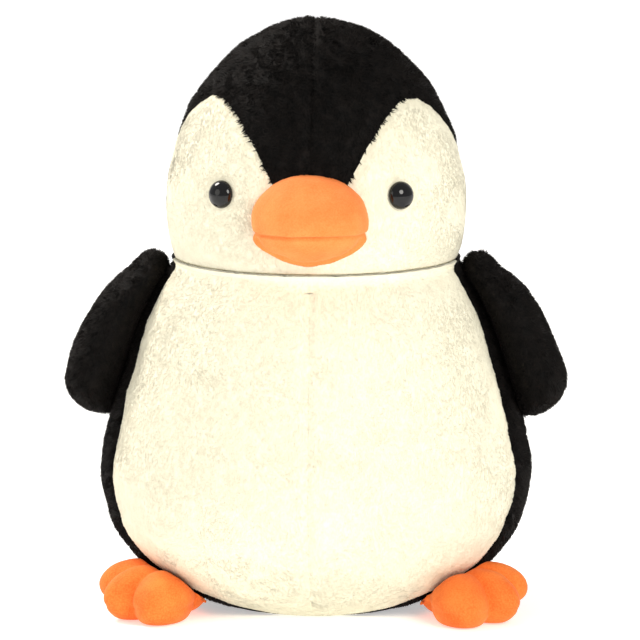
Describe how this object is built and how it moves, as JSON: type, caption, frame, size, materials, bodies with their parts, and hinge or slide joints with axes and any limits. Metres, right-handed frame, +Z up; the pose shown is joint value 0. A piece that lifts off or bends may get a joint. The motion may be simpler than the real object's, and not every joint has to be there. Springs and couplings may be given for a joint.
{
  "type": "plush penguin",
  "caption": "Round sitting plush penguin with a turning head, lifting wings, soft three-toed feet, glossy safety eyes and a small tail.",
  "frame": {"origin": "centre of the toy's bounding box, on the surface it stands on", "axes": "+Z up, the face looks along -Y, the toy's own left is +X"},
  "size_m": [0.2532, 0.196, 0.3],
  "materials": {
    "black_plush": "short dense nap, slightly tufted",
    "white_plush": "short dense nap, warm cream white",
    "orange_velboa": "very short smooth nap",
    "polyester_stuffing": "loose fibre",
    "eye_plastic": "high gloss",
    "washer_plastic": "moulded"
  },
  "bodies": {
    "torso": {"left_belly_panel": "white_plush", "right_belly_panel": "white_plush", "left_back_panel": "black_plush", "right_back_panel": "black_plush", "base_panel": "white_plush", "torso_stuffing": "polyester_stuffing"},
    "neck": {"neck_stuffing": "polyester_stuffing"},
    "head": {"left_crown_panel": "black_plush", "right_crown_panel": "black_plush", "left_cheek_panel": "white_plush", "right_cheek_panel": "white_plush", "head_stuffing": "polyester_stuffing", "upper_beak_panel": "orange_velboa", "lower_beak_panel": "orange_velboa", "beak_stuffing": "polyester_stuffing", "left_eye": "eye_plastic", "right_eye": "eye_plastic", "left_eye_washer": "washer_plastic", "right_eye_washer": "washer_plastic"},
    "left_wing": {"left_wing_outer_panel": "black_plush", "left_wing_inner_panel": "black_plush", "left_wing_stuffing": "polyester_stuffing"},
    "right_wing": {"right_wing_outer_panel": "black_plush", "right_wing_inner_panel": "black_plush", "right_wing_stuffing": "polyester_stuffing"},
    "left_foot": {"left_foot_top_panel": "orange_velboa", "left_foot_sole_panel": "orange_velboa", "left_foot_stuffing": "polyester_stuffing"},
    "right_foot": {"right_foot_top_panel": "orange_velboa", "right_foot_sole_panel": "orange_velboa", "right_foot_stuffing": "polyester_stuffing"},
    "tail": {"tail_upper_panel": "black_plush", "tail_lower_panel": "black_plush", "tail_stuffing": "polyester_stuffing"}
  },
  "joints": [
    {"name": "head_nod", "type": "hinge", "parent": "torso", "child": "neck", "pos_m": [0, 0, 0.218], "axis": [1, 0, 0], "range_deg": [-8, 4], "stiffness_Nm_per_rad": 1},
    {"name": "head_turn", "type": "hinge", "parent": "neck", "child": "head", "pos_m": [0, 0, 0.218], "axis": [0, 0, 1], "range_deg": [-20, 20], "stiffness_Nm_per_rad": 0.5},
    {"name": "left_wing_lift", "type": "hinge", "parent": "torso", "child": "left_wing", "pos_m": [0.0838, 0, 0.1735], "axis": [0, -1, 0], "range_deg": [0, 75]},
    {"name": "right_wing_lift", "type": "hinge", "parent": "torso", "child": "right_wing", "pos_m": [-0.0838, 0, 0.1735], "axis": [0, 1, 0], "range_deg": [0, 75]},
    {"name": "left_foot_flex", "type": "hinge", "parent": "torso", "child": "left_foot", "pos_m": [0.05847, -0.02603, 0.0035], "axis": [0.4067, 0.9135, 0], "range_deg": [0, 30], "stiffness_Nm_per_rad": 0.15},
    {"name": "right_foot_flex", "type": "hinge", "parent": "torso", "child": "right_foot", "pos_m": [-0.05847, -0.02603, 0.0035], "axis": [0.4067, -0.9135, 0], "range_deg": [0, 30], "stiffness_Nm_per_rad": 0.15},
    {"name": "tail_flex", "type": "hinge", "parent": "torso", "child": "tail", "pos_m": [0, 0.08946, 0.046], "axis": [1, 0, 0], "range_deg": [-15, 20], "stiffness_Nm_per_rad": 0.05}
  ]
}
